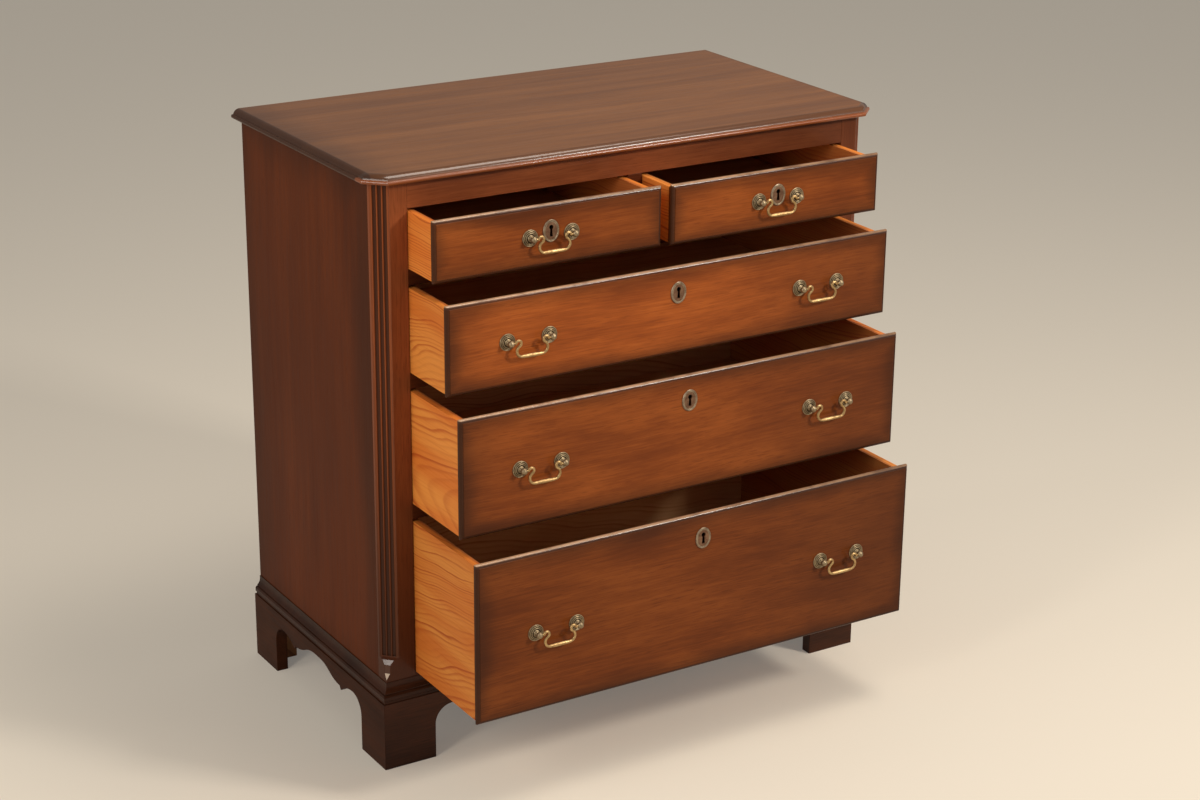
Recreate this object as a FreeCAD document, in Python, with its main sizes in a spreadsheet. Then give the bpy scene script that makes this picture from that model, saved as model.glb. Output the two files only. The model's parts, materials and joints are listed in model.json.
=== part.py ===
import FreeCAD, Part
import math
import os
import Sketcher
from collections import namedtuple
from types import SimpleNamespace

# A chest of drawers: two short drawers over three long ones, each standing open by its own amount.
# x runs to the right seen from the front, y to the back and z up from the floor.
# The origin is on the floor, under the middle of the whole chest as it stands open.

# Driving sizes in millimetres, turns in degrees
SIZES = {
    # Case
    "case_width": 890.0,
    "case_depth": 474.0,
    "lower_opening": 259.0,
    "middle_opening": 187.0,
    "upper_opening": 137.5,
    "top_opening": 93.0,
    "rail_height": 25.0,
    "rail_depth": 60.0,
    "top_rail_height": 42.0,
    "top_rail_depth": 25.0,
    "bottom_rail_height": 39.0,
    "divider_width": 26.0,
    "panel_thickness": 19.0,
    "back_thickness": 6.0,
    "rebate_depth": 8.0,
    "rebate_width": 8.0,
    "bottom_board_thickness": 12.0,
    "tenon_length": 12.0,
    "tenon_thickness": 12.0,
    "tenon_setback": 8.0,
    # Fluted corner posts
    "post_width": 51.15,
    "post_depth": 28.0,
    "chamfer_leg": 22.0,
    "tongue_tip_height": 36.5,
    "tongue_tip_rise": 10.5,
    "tongue_neck_rise": 14.5,
    "tongue_brow_rise": 6.5,
    "tongue_stop_rise": 2.5,
    "tongue_tip_leg": 6.7,
    "tongue_neck_leg": 7.2,
    "tongue_brow_leg": 14.2,
    "flute_radius": 3.4,
    "flute_sink": 2.4,
    "flute_pitch": 8.2,
    "flute_lift": 2.0,
    # Runners, guides and cleats
    "runner_height": 18.0,
    "runner_reach": 22.0,
    "guide_height": 20.0,
    "centre_runner_width": 80.0,
    # Top board
    "top_thickness": 14.5,
    "side_overhang": 16.0,
    "front_overhang": 15.0,
    "rear_overhang": 4.0,
    "cant_leg": 30.0,
    "edge_inset": 13.5,
    "edge_ovolo_drop": 7.5,
    "edge_ovolo_radius": 12.0,
    "edge_fillet_inset": 4.0,
    "edge_fillet_drop": 1.0,
    "nose_radius": 3.6,
    # Bracket base
    "base_height": 113.0,
    "base_projection": 10.0,
    "base_thickness": 20.0,
    "front_foot_width": 90.0,
    "side_foot_width": 83.0,
    "arch_cover": 24.5,
    "arch_radius": 30.5,
    "cusp_run": 73.0,
    "cusp_cover": 40.5,
    "cusp_step_run": 5.0,
    "cusp_step_rise": 6.5,
    "ogee_run": 74.0,
    "apron_cover": 16.0,
    "foot_block_width": 32.0,
    "foot_block_lift": 3.0,
    "brace_thickness": 18.0,
    "brace_top_width": 150.0,
    "brace_foot_width": 75.0,
    # Base moulding
    "moulding_height": 33.0,
    "moulding_quirk_inset": 2.0,
    "moulding_quirk_height": 4.0,
    "moulding_bead_height": 11.0,
    "moulding_bead_radius": 7.5,
    "moulding_fillet_inset": 3.5,
    "moulding_fillet_height": 2.0,
    "moulding_cove_radius": 15.5,
    "moulding_top_width": 1.2,
    "moulding_top_height": 2.0,
    # Drawers
    "front_thickness": 20.0,
    "lip_thickness": 6.5,
    "field_height": 1.0,
    "field_inset": 5.6,
    "lip_radius": 4.8,
    "side_lip": 5.3,
    "top_lip": 3.0,
    "front_lift": 1.0,
    "side_clearance": 1.0,
    "top_clearance": 4.0,
    "running_gap": 0.3,
    "drawer_side_thickness": 12.0,
    "drawer_back_thickness": 12.0,
    "drawer_bottom_thickness": 6.0,
    "drawer_bottom_lift": 12.0,
    "groove_depth": 6.0,
    "dado_depth": 4.0,
    "back_drop": 8.0,
    "back_gap": 12.0,
    "socket_depth": 7.0,
    "socket_neck": 5.0,
    "socket_flare": 8.0,
    # How far each drawer stands open
    "top_left_travel": 82.9,
    "top_right_travel": 87.0,
    "upper_travel": 119.8,
    "middle_travel": 156.9,
    "lower_travel": 202.5,
    # Pulls
    "pull_boring": 71.3,
    "pull_inset": 130.6,
    "rosette_radius": 13.2,
    "rosette_edge": 1.6,
    "rosette_dome_radius": 10.8,
    "rosette_dome_height": 4.8,
    "rosette_dome_top": 4.4,
    "post_neck_radius": 3.0,
    "post_reach": 12.0,
    "post_head_radius": 5.2,
    "post_head_length": 10.0,
    "post_head_band": 5.0,
    "shank_half_width": 1.8,
    "shank_clearance": 0.2,
    "nut_radius": 5.0,
    "nut_thickness": 4.0,
    "pin_radius": 1.5,
    "pin_clearance": 0.05,
    "pin_depth": 4.0,
    "pin_hole_spare": 0.5,
    "bail_gap": 0.3,
    "bail_drop": 22.0,
    "bail_wire_radius": 2.2,
    "bail_grip_radius": 3.0,
    "bail_hump_rise": 3.5,
    "bail_hump_radius": 4.5,
    "bail_corner_radius": 9.0,
    "bail_grip_flat": 8.0,
    # Escutcheons and keyholes
    "escutcheon_drop": 41.0,
    "escutcheon_half_width": 14.0,
    "escutcheon_half_height": 17.5,
    "escutcheon_thickness": 2.0,
    "keyhole_rise": 5.6,
    "keyhole_radius": 3.6,
    "keyhole_flare": 2.6,
    "keyhole_drop": 14.4,
    "keyhole_depth": 12.0,
    # How far a cutting shape runs past what it cuts
    "overrun": 5.0,
}

LEFT = 1
RIGHT = -1
MITRE_ANGLE = 45
NECK_ANGLE = 55
PIN_ANGLE = -15
KEYHOLE_ANGLE = 60
NUT_SIDES = 6
WIRE_SIDES = 8
POST_SIDES = 10
OVAL_SIDES = 28
CORNER_STEPS = 5
HUMP_STEPS = 7
KEYHOLE_STEPS = 10

Arc = namedtuple("Arc", "radius turn")


class Size:
    """A length held twice: as a number, and as the expression that ties it to the sheet."""

    def __init__(self, value, text):
        self.value = value
        self.text = text

    def __add__(self, other):
        other = as_size(other)
        return Size(self.value + other.value, f"({self.text} + {other.text})")

    def __sub__(self, other):
        other = as_size(other)
        return Size(self.value - other.value, f"({self.text} - {other.text})")

    def __mul__(self, other):
        other = as_size(other)
        return Size(self.value * other.value, f"({self.text} * {other.text})")

    def __truediv__(self, other):
        other = as_size(other)
        return Size(self.value / other.value, f"({self.text} / {other.text})")

    def __neg__(self):
        return Size(-self.value, f"(-1 * {self.text})")


def as_size(value):
    return value if isinstance(value, Size) else Size(float(value), repr(float(value)))


def cosine(degrees):
    degrees = as_size(degrees)
    return Size(math.cos(math.radians(degrees.value)), f"cos({degrees.text} * 1 deg)")


def sine(degrees):
    degrees = as_size(degrees)
    return Size(math.sin(math.radians(degrees.value)), f"sin({degrees.text} * 1 deg)")


def leg(hypotenuse, other):
    """The third side of a right-angled triangle."""
    squared = hypotenuse * hypotenuse - other * other
    return Size(math.sqrt(squared.value), f"sqrt({squared.text})")


def arc_radius(run, rise):
    """Radius of an arc that leaves along the run and climbs by the rise."""
    return (run * run + rise * rise) / (rise * 2)


ZERO = as_size(0)

# The document and its sheet of sizes
doc = FreeCAD.newDocument("chest")
sheet = doc.addObject("Spreadsheet::Sheet", "dim")
for row, (name, number) in enumerate(SIZES.items(), start=1):
    sheet.set(f"A{row}", name)
    sheet.set(f"B{row}", str(number))
    sheet.setAlias(f"B{row}", name)
doc.recompute()
mm = SimpleNamespace(**{name: Size(number, f"dim.{name}") for name, number in SIZES.items()})
nodes = []


def bind(thing, prop, size):
    thing.setExpression(prop, as_size(size).text)


def place(thing, x, y, z):
    bind(thing, "Placement.Base.x", x)
    bind(thing, "Placement.Base.y", y)
    bind(thing, "Placement.Base.z", z)
    return thing


def turn(thing, axis, degrees):
    thing.Placement = FreeCAD.Placement(FreeCAD.Vector(), FreeCAD.Rotation(FreeCAD.Vector(*axis), degrees))
    return thing


def node(name, thing):
    thing.Label = name
    nodes.append(thing)
    return thing


# Sketches


def sketch_on(body, role, offset):
    sketch = body.newObject("Sketcher::SketchObject", "Sketch")
    plane = next(feature for feature in body.Origin.OriginFeatures if feature.Role == role)
    sketch.AttachmentSupport = [(plane, "")]
    sketch.MapMode = "FlatFace"
    bind(sketch, "AttachmentOffset.Base.z", offset)
    return sketch


def fix(sketch, kind, place_of, size):
    """Tie one coordinate of a point, or one radius, to its size."""
    index = sketch.addConstraint(Sketcher.Constraint(kind, *place_of, size.value))
    sketch.setExpression(f"Constraints[{index}]", size.text)


def fix_point(sketch, geometry, end, x, y):
    fix(sketch, "DistanceX", (-1, 1, geometry, end), as_size(x))
    fix(sketch, "DistanceY", (-1, 1, geometry, end), as_size(y))


def arc_curve(first, last, arc):
    """The shorter arc between two corners, and which of its ends lies at the first one."""
    chord = last - first
    side = FreeCAD.Vector(-chord.y, chord.x, 0).normalize() * arc.turn
    reach = math.sqrt(max(arc.radius.value**2 - (chord.Length / 2) ** 2, 0.0))
    centre = (first + last) / 2 + side * reach
    start, end = (first, last) if arc.turn == LEFT else (last, first)
    start_angle = math.atan2(start.y - centre.y, start.x - centre.x)
    end_angle = math.atan2(end.y - centre.y, end.x - centre.x)
    if end_angle < start_angle:
        end_angle += 2 * math.pi
    circle = Part.Circle(centre, FreeCAD.Vector(0, 0, 1), arc.radius.value)
    return Part.ArcOfCircle(circle, start_angle, end_angle), (1, 2) if arc.turn == LEFT else (2, 1)


def draw(sketch, path, closed=True):
    """Draw a path of corners; an Arc between two corners bends the stretch that joins them."""
    corners = [(as_size(item[0]), as_size(item[1])) for item in path if not isinstance(item, Arc)]
    points = [FreeCAD.Vector(x.value, y.value, 0) for x, y in corners]
    bends = []
    for item, follower in zip(path, path[1:] + path[:1]):
        if not isinstance(item, Arc):
            bends.append(follower if isinstance(follower, Arc) else None)
    edges = []
    for index, bend in enumerate(bends if closed else bends[:-1]):
        first, last = points[index], points[(index + 1) % len(points)]
        if bend:
            curve, ends = arc_curve(first, last, bend)
        else:
            curve, ends = Part.LineSegment(first, last), (1, 2)
        edges.append((sketch.addGeometry(curve), *ends))
    followers = edges[1:] + edges[:1] if closed else edges[1:]
    for (geometry, _, end), (follower, start, _) in zip(edges, followers):
        sketch.addConstraint(Sketcher.Constraint("Coincident", geometry, end, follower, start))
    for (geometry, start, _), corner in zip(edges, corners):
        fix_point(sketch, geometry, start, *corner)
    if not closed:
        fix_point(sketch, edges[-1][0], edges[-1][2], *corners[-1])
    for (geometry, _, _), bend in zip(edges, bends):
        if bend:
            fix(sketch, "Radius", (geometry,), bend.radius)


def rectangle(x_low, x_high, y_low, y_high):
    return [(x_low, y_low), (x_high, y_low), (x_high, y_high), (x_low, y_high)]


def stepped(x, y, radius, first, last, steps):
    """Points on an arc about x, y, from one direction to another."""
    turns = [first + (last - first) * step / steps for step in range(steps + 1)]
    return [(x + radius * cosine(degrees), y + radius * sine(degrees)) for degrees in turns]


def regular(sides, radius, x=ZERO, y=ZERO):
    """A regular polygon with its corners on a circle."""
    return stepped(x, y, radius, ZERO, as_size(360), sides)[:-1]


def square(x, y, half):
    return rectangle(x - half, x + half, y - half, y + half)


def mirrored(path):
    """A path seen in a mirror at x = 0 and walked the other way, so its arcs keep their turns."""
    return [item if isinstance(item, Arc) else (-item[0], item[1]) for item in reversed(path)]


# Solids


def new_body():
    return doc.addObject("PartDesign::Body", "Body")


def extrude(kind, body, role, paths, length, offset=ZERO, flip=False):
    sketch = sketch_on(body, role, offset)
    for path in paths:
        draw(sketch, path)
    feature = body.newObject(f"PartDesign::{kind}", kind)
    feature.Profile = sketch
    feature.Reversed = flip
    bind(feature, "Length", length)
    return feature


def pad(body, role, paths, length, offset=ZERO, flip=False):
    return extrude("Pad", body, role, paths, length, offset, flip)


def pocket(body, role, paths, length, offset=ZERO, flip=False):
    return extrude("Pocket", body, role, paths, length, offset, flip)


def prism(role, path, length, offset=ZERO, flip=False):
    body = new_body()
    pad(body, role, [path], length, offset, flip)
    return body


def block(x, y, z):
    """A box from its low and high ends along each axis."""
    box = doc.addObject("Part::Box", "Box")
    bind(box, "Length", x[1] - x[0])
    bind(box, "Width", y[1] - y[0])
    bind(box, "Height", z[1] - z[0])
    return place(box, x[0], y[0], z[0])


def join(kind, parts):
    thing = doc.addObject(f"Part::{kind}", kind)
    if kind == "Compound":
        thing.Links = parts
    else:
        thing.Shapes = parts
    return thing


def cut(base, tools):
    thing = doc.addObject("Part::Cut", "Cut")
    thing.Base = base
    thing.Tool = tools[0] if len(tools) == 1 else join("MultiFuse", tools)
    return thing


def turned(role, silhouette, width, sides, axis, first=0):
    """A lathe shape with flat sides: what is left when one silhouette is sawn through from every side."""
    turns = [first + step * 360 / sides for step in range(sides // 2)]
    slabs = [turn(prism(role, silhouette, width, -width / 2), axis, degrees) for degrees in turns]
    return join("MultiCommon", slabs)


def mirror(source, x=ZERO):
    thing = doc.addObject("Part::Mirroring", "Mirror")
    thing.Source = source
    thing.Normal = FreeCAD.Vector(1, 0, 0)
    bind(thing, "Base.x", x)
    return thing


def both_sides(low, high):
    """The same stretch of x at the left and at the right."""
    return [(-high, -low), (low, high)]


# Places that several pieces share

half_case = mm.case_width / 2
half_opening = half_case - mm.post_width
opening_width = half_opening * 2
panel_inside = half_case - mm.panel_thickness
proud = mm.lip_thickness + mm.field_height
core_depth = mm.front_thickness - proud
rear_edge = mm.case_depth + mm.rear_overhang
back_front = mm.case_depth - mm.rebate_depth
drawer_rear = back_front - mm.back_gap

lower_floor = mm.base_height + mm.bottom_rail_height
middle_floor = lower_floor + mm.lower_opening + mm.rail_height
upper_floor = middle_floor + mm.middle_opening + mm.rail_height
top_floor = upper_floor + mm.upper_opening + mm.rail_height
top_rail_foot = top_floor + mm.top_opening
case_top = top_rail_foot + mm.top_rail_height

# The case's front stands where the open chest reaches as far ahead of the origin as behind it
front_reach = mm.lower_travel + proud + mm.post_reach + mm.post_head_length / 2
front_y = (front_reach - rear_edge) / 2


def from_front(low, high):
    """A stretch of depth behind the case's front."""
    return front_y + low, front_y + high


# Case


def top_board():
    half_width = half_case + mm.side_overhang
    front = -mm.front_overhang
    plan = [
        (-half_width, rear_edge),
        (-half_width, front + mm.cant_leg),
        (mm.cant_leg - half_width, front),
        (half_width - mm.cant_leg, front),
        (half_width, front + mm.cant_leg),
        (half_width, rear_edge),
    ]
    board = place(prism("XY_Plane", plan, mm.top_thickness), ZERO, front_y, case_top)
    middle_y = (front + mm.cant_leg + rear_edge) / 2
    cant_x = half_width - mm.cant_leg / 2
    cant_y = front + mm.cant_leg / 2
    edges = [
        (half_width, middle_y, 0),
        (cant_x, cant_y, -MITRE_ANGLE),
        (ZERO, front, -2 * MITRE_ANGLE),
        (-cant_x, cant_y, -3 * MITRE_ANGLE),
        (-half_width, middle_y, -4 * MITRE_ANGLE),
    ]
    cutters = []
    for x, y, degrees in edges:
        cutter = turn(edge_cutter(half_width * 2), (0, 0, 1), degrees)
        cutters.append(place(cutter, x, front_y + y, case_top + mm.top_thickness))
    node("top_board", cut(board, cutters))


def edge_cutter(length):
    """What the moulded edge leaves out: above and outside its ovolo, fillet and nose."""
    fillet_foot = mm.edge_ovolo_drop + mm.edge_fillet_drop
    nose_inset = mm.nose_radius - leg(mm.nose_radius, (mm.top_thickness - fillet_foot) / 2)
    profile = [
        (-mm.edge_inset, mm.overrun),
        (-mm.edge_inset, ZERO),
        Arc(mm.edge_ovolo_radius, RIGHT),
        (-mm.edge_fillet_inset, -mm.edge_ovolo_drop),
        (-mm.edge_fillet_inset, -fillet_foot),
        (-nose_inset, -fillet_foot),
        Arc(mm.nose_radius, RIGHT),
        (-nose_inset, -mm.top_thickness),
        (-nose_inset, -mm.top_thickness - mm.overrun),
        (mm.overrun, -mm.top_thickness - mm.overrun),
        (mm.overrun, mm.overrun),
    ]
    return prism("XZ_Plane", profile, length, offset=-length / 2)


def side_panels():
    plan = [
        (panel_inside, mm.post_depth),
        (half_case, mm.post_depth),
        (half_case, mm.case_depth),
        (panel_inside + mm.rebate_width, mm.case_depth),
        (panel_inside + mm.rebate_width, back_front),
        (panel_inside, back_front),
    ]
    panel = prism("XY_Plane", plan, case_top - mm.base_height)
    node("side_panel_right", place(panel, ZERO, front_y, mm.base_height))
    node("side_panel_left", mirror(panel))


def corner_posts():
    """A post with a chamfer that ends in a lamb's tongue, three flutes, and mortises for the rails."""
    height = case_top - mm.base_height
    post = block((half_opening, half_case), from_front(ZERO, mm.post_depth), (mm.base_height, case_top))
    diagonal = cosine(MITRE_ANGLE)
    heights = [mm.tongue_tip_height]
    for rise in (mm.tongue_tip_rise, mm.tongue_neck_rise, mm.tongue_brow_rise, mm.tongue_stop_rise):
        heights.append(heights[-1] + rise)
    legs = [ZERO, mm.tongue_tip_leg, mm.tongue_neck_leg, mm.tongue_brow_leg, mm.chamfer_leg]
    profile = [(reach * diagonal, rise) for reach, rise in zip(legs, heights)]
    profile.append((mm.chamfer_leg * diagonal, height + mm.overrun))
    profile.append((-mm.overrun, height + mm.overrun))
    profile.append((-mm.overrun, heights[0]))
    width = mm.chamfer_leg * 2 + mm.overrun
    chamfer = turn(prism("XZ_Plane", profile, width, offset=-width / 2), (0, 0, 1), 3 * MITRE_ANGLE)
    tools = [place(chamfer, half_case, front_y, mm.base_height)]
    flute_foot = mm.base_height + heights[-1] + mm.flute_lift
    flute_reach = mm.chamfer_leg * diagonal - (mm.flute_radius - mm.flute_sink)
    for step in (-1, 0, 1):
        shift = mm.flute_pitch * step
        x = half_case - (flute_reach + shift) * diagonal
        y = front_y + (flute_reach - shift) * diagonal
        flute = doc.addObject("Part::Cylinder", "Flute")
        bind(flute, "Radius", mm.flute_radius)
        bind(flute, "Height", case_top + mm.overrun - flute_foot)
        tools.append(place(flute, x, y, flute_foot))
    for low, high in rail_heights():
        mortise = (half_opening, half_opening + mm.tenon_length)
        tools.append(block(mortise, tenon_depths(), (low, high)))
    right = node("corner_post_right", cut(post, tools))
    node("corner_post_left", mirror(right))


def rail_heights():
    return [
        (mm.base_height, lower_floor),
        (middle_floor - mm.rail_height, middle_floor),
        (upper_floor - mm.rail_height, upper_floor),
        (top_floor - mm.rail_height, top_floor),
        (top_rail_foot, case_top),
    ]


def tenon_depths():
    return from_front(mm.tenon_setback, mm.tenon_setback + mm.tenon_thickness)


def rails():
    names = ["bottom_rail", "rail_lower", "rail_middle", "rail_upper", "top_rail"]
    depths = [mm.rail_depth] * 4 + [mm.top_rail_depth]
    for name, depth, heights in zip(names, depths, rail_heights()):
        rail = block((-half_opening, half_opening), from_front(ZERO, depth), heights)
        reach = half_opening + mm.tenon_length
        tenons = block((-reach, reach), tenon_depths(), heights)
        node(name, join("MultiFuse", [rail, tenons]))


def centre_divider():
    half = mm.divider_width / 2
    node("centre_divider", block((-half, half), from_front(ZERO, mm.rail_depth), (top_floor, top_rail_foot)))


def runners_and_guides():
    depth = from_front(mm.rail_depth, back_front)
    runners = []
    guides = []
    for floor in (lower_floor, middle_floor, upper_floor, top_floor):
        under = (floor - mm.runner_height, floor)
        beside = (floor, floor + mm.guide_height)
        runners += [block(x, depth, under) for x in both_sides(half_opening - mm.runner_reach, panel_inside)]
        guides += [block(x, depth, beside) for x in both_sides(half_opening, panel_inside)]
    half_runner = mm.centre_runner_width / 2
    half_guide = mm.divider_width / 2
    runners.append(block((-half_runner, half_runner), depth, (top_floor - mm.runner_height, top_floor)))
    guides.append(block((-half_guide, half_guide), depth, (top_floor, top_floor + mm.guide_height)))
    node("drawer_runners", join("Compound", runners))
    node("drawer_guides", join("Compound", guides))


def top_cleats():
    sides = both_sides(half_opening - mm.runner_reach, panel_inside)
    depth = from_front(mm.post_depth, back_front)
    node("top_cleats", join("Compound", [block(x, depth, (top_rail_foot, case_top)) for x in sides]))


def back_panel():
    reach = panel_inside + mm.rebate_width
    depth = from_front(back_front, back_front + mm.back_thickness)
    node("back_panel", block((-reach, reach), depth, (mm.base_height, case_top)))


def bottom_board():
    top = lower_floor - mm.runner_height
    depth = from_front(mm.rail_depth, back_front)
    heights = (top - mm.bottom_board_thickness, top)
    node("bottom_board", block((-panel_inside, panel_inside), depth, heights))


# Bracket base


def bracket(half_length, foot_width):
    """A base board's outline: feet, round arches, cusps and ogees up to the straight apron."""
    foot = half_length - foot_width
    cusp = foot - mm.cusp_run
    step = cusp - mm.cusp_step_run
    arch_height = mm.base_height - mm.arch_cover
    apron_height = mm.base_height - mm.apron_cover
    cusp_height = mm.base_height - mm.cusp_cover
    step_height = cusp_height + mm.cusp_step_rise
    apron_end = step - mm.ogee_run
    ogee_rise = (apron_height - step_height) / 2
    ogee_radius = arc_radius(mm.ogee_run / 2, ogee_rise)
    crown = foot - mm.arch_radius
    shoulder_radius = arc_radius(crown - cusp, arch_height - cusp_height)
    half = [
        (apron_end, apron_height),
        Arc(ogee_radius, RIGHT),
        (apron_end + mm.ogee_run / 2, apron_height - ogee_rise),
        Arc(ogee_radius, LEFT),
        (step, step_height),
        (cusp, cusp_height),
        Arc(shoulder_radius, RIGHT),
        (crown, arch_height),
        Arc(mm.arch_radius, RIGHT),
        (foot, arch_height - mm.arch_radius),
        (foot, ZERO),
        (half_length, ZERO),
        (half_length, mm.base_height),
    ]
    return mirrored(half) + half


def base_boards():
    half_width = half_case + mm.base_projection
    length = mm.base_projection + rear_edge
    inner = half_width - mm.base_thickness
    front = -mm.base_projection
    mitre_y = front + mm.base_thickness

    face = prism("XZ_Plane", bracket(half_width, mm.front_foot_width), mm.base_thickness, -mitre_y)
    plan = [(-half_width, front), (half_width, front), (inner, mitre_y), (-inner, mitre_y)]
    trim = prism("XY_Plane", plan, mm.base_height)
    for piece in (face, trim):
        place(piece, ZERO, front_y, ZERO)
    node("base_front", join("MultiCommon", [face, trim]))

    face = prism("YZ_Plane", bracket(length / 2, mm.side_foot_width), mm.base_thickness, inner)
    place(face, ZERO, front_y + (rear_edge - mm.base_projection) / 2, ZERO)
    plan = [(inner, mitre_y), (half_width, front), (half_width, rear_edge), (inner, rear_edge)]
    trim = place(prism("XY_Plane", plan, mm.base_height), ZERO, front_y, ZERO)
    right = node("base_right", join("MultiCommon", [face, trim]))
    node("base_left", mirror(right))


def base_moulding():
    """Cove over bead, mitred round the front corners of the case."""
    reach = mm.base_projection
    quirk = reach - mm.moulding_quirk_inset
    bead_top = mm.moulding_quirk_height + mm.moulding_bead_height
    fillet = reach - mm.moulding_fillet_inset
    fillet_top = bead_top + mm.moulding_fillet_height
    cove_top = mm.moulding_height - mm.moulding_top_height
    profile = [
        (ZERO, ZERO),
        (quirk, ZERO),
        (quirk, mm.moulding_quirk_height),
        Arc(mm.moulding_bead_radius, LEFT),
        (quirk, bead_top),
        (fillet, bead_top),
        (fillet, fillet_top),
        Arc(mm.moulding_cove_radius, RIGHT),
        (mm.moulding_top_width, cove_top),
        (mm.moulding_top_width, mm.moulding_height),
        (ZERO, mm.moulding_height),
    ]
    half_outer = half_case + reach
    length = half_outer * 2
    front_strip = turn(prism("XZ_Plane", profile, length, -length / 2), (0, 0, 1), -2 * MITRE_ANGLE)
    place(front_strip, ZERO, front_y, mm.base_height)
    front_plan = [(-half_outer, -reach), (half_outer, -reach), (half_case, ZERO), (-half_case, ZERO)]
    side_strip = prism("XZ_Plane", profile, rear_edge + reach, -rear_edge)
    place(side_strip, half_case, front_y, mm.base_height)
    rear = mm.case_depth
    side_plan = [(half_case, ZERO), (half_outer, -reach), (half_outer, rear), (half_case, rear)]
    strips = []
    for strip, plan in ((front_strip, front_plan), (side_strip, side_plan)):
        trim = place(prism("XY_Plane", plan, mm.moulding_height), ZERO, front_y, mm.base_height)
        strips.append(join("MultiCommon", [strip, trim]))
    node("base_moulding", join("Compound", strips + [mirror(strips[1])]))


def foot_blocks():
    inner = half_case + mm.base_projection - mm.base_thickness
    front = mm.base_thickness - mm.base_projection
    rear = rear_edge - mm.brace_thickness
    heights = (mm.foot_block_lift, mm.base_height)
    blocks = []
    for x in both_sides(inner - mm.foot_block_width, inner):
        blocks.append(block(x, from_front(front, front + mm.foot_block_width), heights))
        blocks.append(block(x, from_front(rear - mm.foot_block_width, rear), heights))
    node("foot_blocks", join("Compound", blocks))


def rear_foot_braces():
    inner = half_case + mm.base_projection - mm.base_thickness
    outline = [
        (inner - mm.brace_foot_width, ZERO),
        (inner, ZERO),
        (inner, mm.base_height),
        (inner - mm.brace_top_width, mm.base_height),
    ]
    brace = prism("XZ_Plane", outline, mm.brace_thickness, -rear_edge)
    place(brace, ZERO, front_y, ZERO)
    node("rear_foot_braces", join("Compound", [brace, mirror(brace)]))


# Drawers
# Each drawer is drawn about the middle of its opening's floor, with y = 0 where its lip meets the case.


def drawer_at(drawer, thing):
    return place(thing, drawer.x, front_y - drawer.travel, drawer.floor)


def socket(drawer):
    """Plan of the dovetailed joint between a drawer's side and the back of its front."""
    middle = drawer.outside - mm.drawer_side_thickness / 2
    deep = core_depth - mm.socket_depth
    return [
        (middle - mm.socket_flare / 2, deep),
        (middle + mm.socket_flare / 2, deep),
        (middle + mm.socket_neck / 2, core_depth),
        (middle - mm.socket_neck / 2, core_depth),
    ]


def keyhole(drawer):
    """A round top over a slot that widens downwards."""
    foot = drawer.keyhole_z - mm.keyhole_drop
    ends = as_size(-KEYHOLE_ANGLE), as_size(180 + KEYHOLE_ANGLE)
    head = stepped(ZERO, drawer.keyhole_z, mm.keyhole_radius, *ends, KEYHOLE_STEPS)
    return [(-mm.keyhole_flare, foot), (mm.keyhole_flare, foot)] + head


def drawer_front(drawer):
    body = new_body()
    reach = drawer.half_width + mm.side_lip
    lip = rectangle(-reach, reach, mm.front_lift, drawer.front_top)
    plate = pad(body, "XZ_Plane", [lip], mm.lip_thickness)
    doc.recompute()
    outer = [
        f"Edge{index}"
        for index, edge in enumerate(plate.Shape.Edges, start=1)
        if abs(edge.BoundBox.YMax + mm.lip_thickness.value) < mm.lip_radius.value / 2
    ]
    round_over = body.newObject("PartDesign::Fillet", "Fillet")
    round_over.Base = (plate, outer)
    bind(round_over, "Radius", mm.lip_radius)
    inset = mm.field_inset
    field = rectangle(inset - reach, reach - inset, mm.front_lift + inset, drawer.front_top - inset)
    pad(body, "XZ_Plane", [field], mm.field_height, mm.lip_thickness)
    core = rectangle(-drawer.outside, drawer.outside, mm.front_lift, drawer.side_top)
    pad(body, "XZ_Plane", [core], core_depth, flip=True)
    sockets = [socket(drawer), mirrored(socket(drawer))]
    pocket(body, "XY_Plane", sockets, drawer.side_top + mm.overrun, flip=True)
    groove_top = mm.drawer_bottom_lift + mm.drawer_bottom_thickness
    groove = rectangle(-drawer.inside, drawer.inside, mm.drawer_bottom_lift, groove_top)
    pocket(body, "XZ_Plane", [groove], mm.groove_depth, mm.groove_depth - core_depth)
    pocket(body, "XZ_Plane", [keyhole(drawer)], mm.keyhole_depth, proud)
    holes = [square(x, drawer.pull_z, mm.shank_half_width + mm.shank_clearance) for x in drawer.post_xs]
    pocket(body, "XZ_Plane", holes, mm.front_thickness + mm.overrun, proud)
    node(f"{drawer.name}_front", drawer_at(drawer, body))


def drawer_sides(drawer):
    body = new_body()
    groove_x = drawer.inside + mm.groove_depth
    groove_top = mm.drawer_bottom_lift + mm.drawer_bottom_thickness
    section = [
        (drawer.inside, mm.running_gap),
        (drawer.outside, mm.running_gap),
        (drawer.outside, drawer.side_top),
        (drawer.inside, drawer.side_top),
        (drawer.inside, groove_top),
        (groove_x, groove_top),
        (groove_x, mm.drawer_bottom_lift),
        (drawer.inside, mm.drawer_bottom_lift),
    ]
    pad(body, "XZ_Plane", [section], drawer_rear - core_depth, -core_depth, flip=True)
    pad(body, "XY_Plane", [socket(drawer)], drawer.side_top - mm.front_lift, mm.front_lift)
    back_face = drawer_rear - mm.back_drop
    dado_front = back_face - mm.drawer_back_thickness
    dado = rectangle(drawer.inside, drawer.inside + mm.dado_depth, dado_front, back_face)
    pocket(body, "XY_Plane", [dado], drawer.side_top, groove_top, flip=True)
    right = drawer_at(drawer, body)
    node(f"{drawer.name}_sides", join("Compound", [right, mirror(right, drawer.x)]))


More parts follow.
